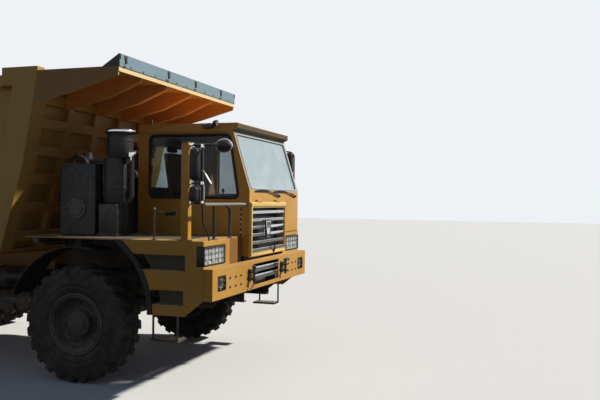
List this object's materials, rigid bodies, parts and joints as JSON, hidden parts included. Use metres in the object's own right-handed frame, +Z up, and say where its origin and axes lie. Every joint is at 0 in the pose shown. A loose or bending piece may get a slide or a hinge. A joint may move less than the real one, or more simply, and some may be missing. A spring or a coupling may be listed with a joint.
{
  "type": "mining dump truck",
  "caption": "Wide-body mining dump truck with an offset cab on the left, a flat deck beside it, twin rear wheels on two axles and a ribbed tipping bed whose canopy covers the cab.",
  "frame": {"origin": "on the ground, below the middle of the overall length and width", "axes": "+X forward, +Y to the truck's left, +Z up"},
  "size_m": [8.76, 3.475, 3.7999],
  "materials": {
    "yellow_paint": "gloss",
    "dark_paint": "satin",
    "grey_paint": "satin",
    "rim_paint": "satin",
    "chrome": "polished",
    "steel": "brushed",
    "cast_iron": "cast",
    "glass": "clear",
    "lamp": "gloss",
    "black_plastic": "matte",
    "rubber": "matte",
    "tyre": "matte",
    "seat_cloth": "woven"
  },
  "bodies": {
    "chassis": {"frame_rails": "dark_paint", "bumper": "yellow_paint", "bumper_fittings": "chrome", "front_lamps": "lamp", "fender_right": "yellow_paint", "fender_left": "yellow_paint", "arch_guards": "rubber", "side_steps": "dark_paint", "handrails": "steel", "mirrors": "black_plastic", "cab_shell": "yellow_paint", "cab_glass": "glass", "wipers": "black_plastic", "roof_lamps": "black_plastic", "seats": "seat_cloth", "dashboard": "black_plastic", "steering_wheel": "black_plastic", "engine": "cast_iron", "radiator": "dark_paint", "air_cleaner": "black_plastic", "silencer": "steel", "hydraulic_tank": "dark_paint", "fuel_tank": "dark_paint", "air_tanks": "dark_paint", "springs": "dark_paint", "front_axle": "cast_iron", "rear_axles": "cast_iron", "drive_shafts": "dark_paint"},
    "flap": {"front_flap": "yellow_paint", "grille_bars": "chrome"},
    "door": {"door_left": "yellow_paint", "door_glass": "glass"},
    "knuckle_left": {"knuckle_left": "cast_iron"},
    "knuckle_right": {"knuckle_right": "cast_iron"},
    "tie_rod": {"tie_rod": "steel"},
    "hoist_barrels": {"hoist_barrels": "dark_paint"},
    "hoist_rods": {"hoist_rods": "chrome"},
    "bed": {"bed_floor": "yellow_paint", "bed_beams": "yellow_paint", "bed_side_left": "yellow_paint", "bed_side_right": "yellow_paint", "bed_front_wall": "yellow_paint", "bed_canopy": "yellow_paint", "canopy_strip": "grey_paint"},
    "wheel_front_left": {"tyre_front_left": "tyre", "rim_front_left": "rim_paint"},
    "wheel_front_right": {"tyre_front_right": "tyre", "rim_front_right": "rim_paint"},
    "wheels_mid_left": {"tyres_mid_left": "tyre", "rims_mid_left": "rim_paint"},
    "wheels_mid_right": {"tyres_mid_right": "tyre", "rims_mid_right": "rim_paint"},
    "wheels_rear_left": {"tyres_rear_left": "tyre", "rims_rear_left": "rim_paint"},
    "wheels_rear_right": {"tyres_rear_right": "tyre", "rims_rear_right": "rim_paint"}
  },
  "joints": [
    {"name": "steer_left", "type": "hinge", "parent": "chassis", "child": "knuckle_left", "pos_m": [2.404, 1.18, 0.685], "axis": [0, 0, 1], "range_deg": [-35, 35]},
    {"name": "steer_right", "type": "hinge", "parent": "chassis", "child": "knuckle_right", "pos_m": [2.404, -1.18, 0.685], "axis": [0, 0, 1], "range_deg": [-35, 35]},
    {"name": "tie_rod_shift", "type": "slide", "parent": "chassis", "child": "tie_rod", "axis": [0, 1, 0], "range_m": [-0.145, 0.145]},
    {"name": "roll_front_left", "type": "hinge", "parent": "knuckle_left", "child": "wheel_front_left", "pos_m": [2.404, 1.412, 0.685], "axis": [0, 1, 0], "continuous": true},
    {"name": "roll_front_right", "type": "hinge", "parent": "knuckle_right", "child": "wheel_front_right", "pos_m": [2.404, -1.412, 0.685], "axis": [0, 1, 0], "continuous": true},
    {"name": "roll_mid_left", "type": "hinge", "parent": "chassis", "child": "wheels_mid_left", "pos_m": [-1.246, 1.2275, 0.685], "axis": [0, 1, 0], "continuous": true},
    {"name": "roll_mid_right", "type": "hinge", "parent": "chassis", "child": "wheels_mid_right", "pos_m": [-1.246, -1.2275, 0.685], "axis": [0, 1, 0], "continuous": true},
    {"name": "roll_rear_left", "type": "hinge", "parent": "chassis", "child": "wheels_rear_left", "pos_m": [-2.746, 1.2275, 0.685], "axis": [0, 1, 0], "continuous": true},
    {"name": "roll_rear_right", "type": "hinge", "parent": "chassis", "child": "wheels_rear_right", "pos_m": [-2.746, -1.2275, 0.685], "axis": [0, 1, 0], "continuous": true},
    {"name": "bed_tilt", "type": "hinge", "parent": "chassis", "child": "bed", "pos_m": [-3.62, 0, 1.23], "axis": [0, -1, 0], "range_deg": [0, 45]},
    {"name": "hoist_swing", "type": "hinge", "parent": "chassis", "child": "hoist_barrels", "pos_m": [-0.17, 0, 0.96], "axis": [0, 1, 0], "range_deg": [0, 18.6]},
    {"name": "hoist_stroke", "type": "slide", "parent": "hoist_barrels", "child": "hoist_rods", "axis": [-0.9729, 0, 0.2314], "range_m": [0, 0.974]},
    {"name": "door_swing", "type": "hinge", "parent": "chassis", "child": "door", "pos_m": [3.718, 1.603, 2], "axis": [0, 0, -1], "range_deg": [0, 70]},
    {"name": "flap_lift", "type": "hinge", "parent": "chassis", "child": "flap", "pos_m": [4.094, 0, 2.142], "axis": [0, -1, 0], "range_deg": [0, 75]}
  ],
  "couplings": [
    {"joint": "steer_right", "follows": "steer_left", "ratio": 1},
    {"joint": "tie_rod_shift", "follows": "steer_left", "m_per_rad": -0.23409},
    {"joint": "hoist_swing", "follows": "bed_tilt", "ratio": 0.41292},
    {"joint": "hoist_stroke", "follows": "bed_tilt", "m_per_rad": 1.2388}
  ]
}
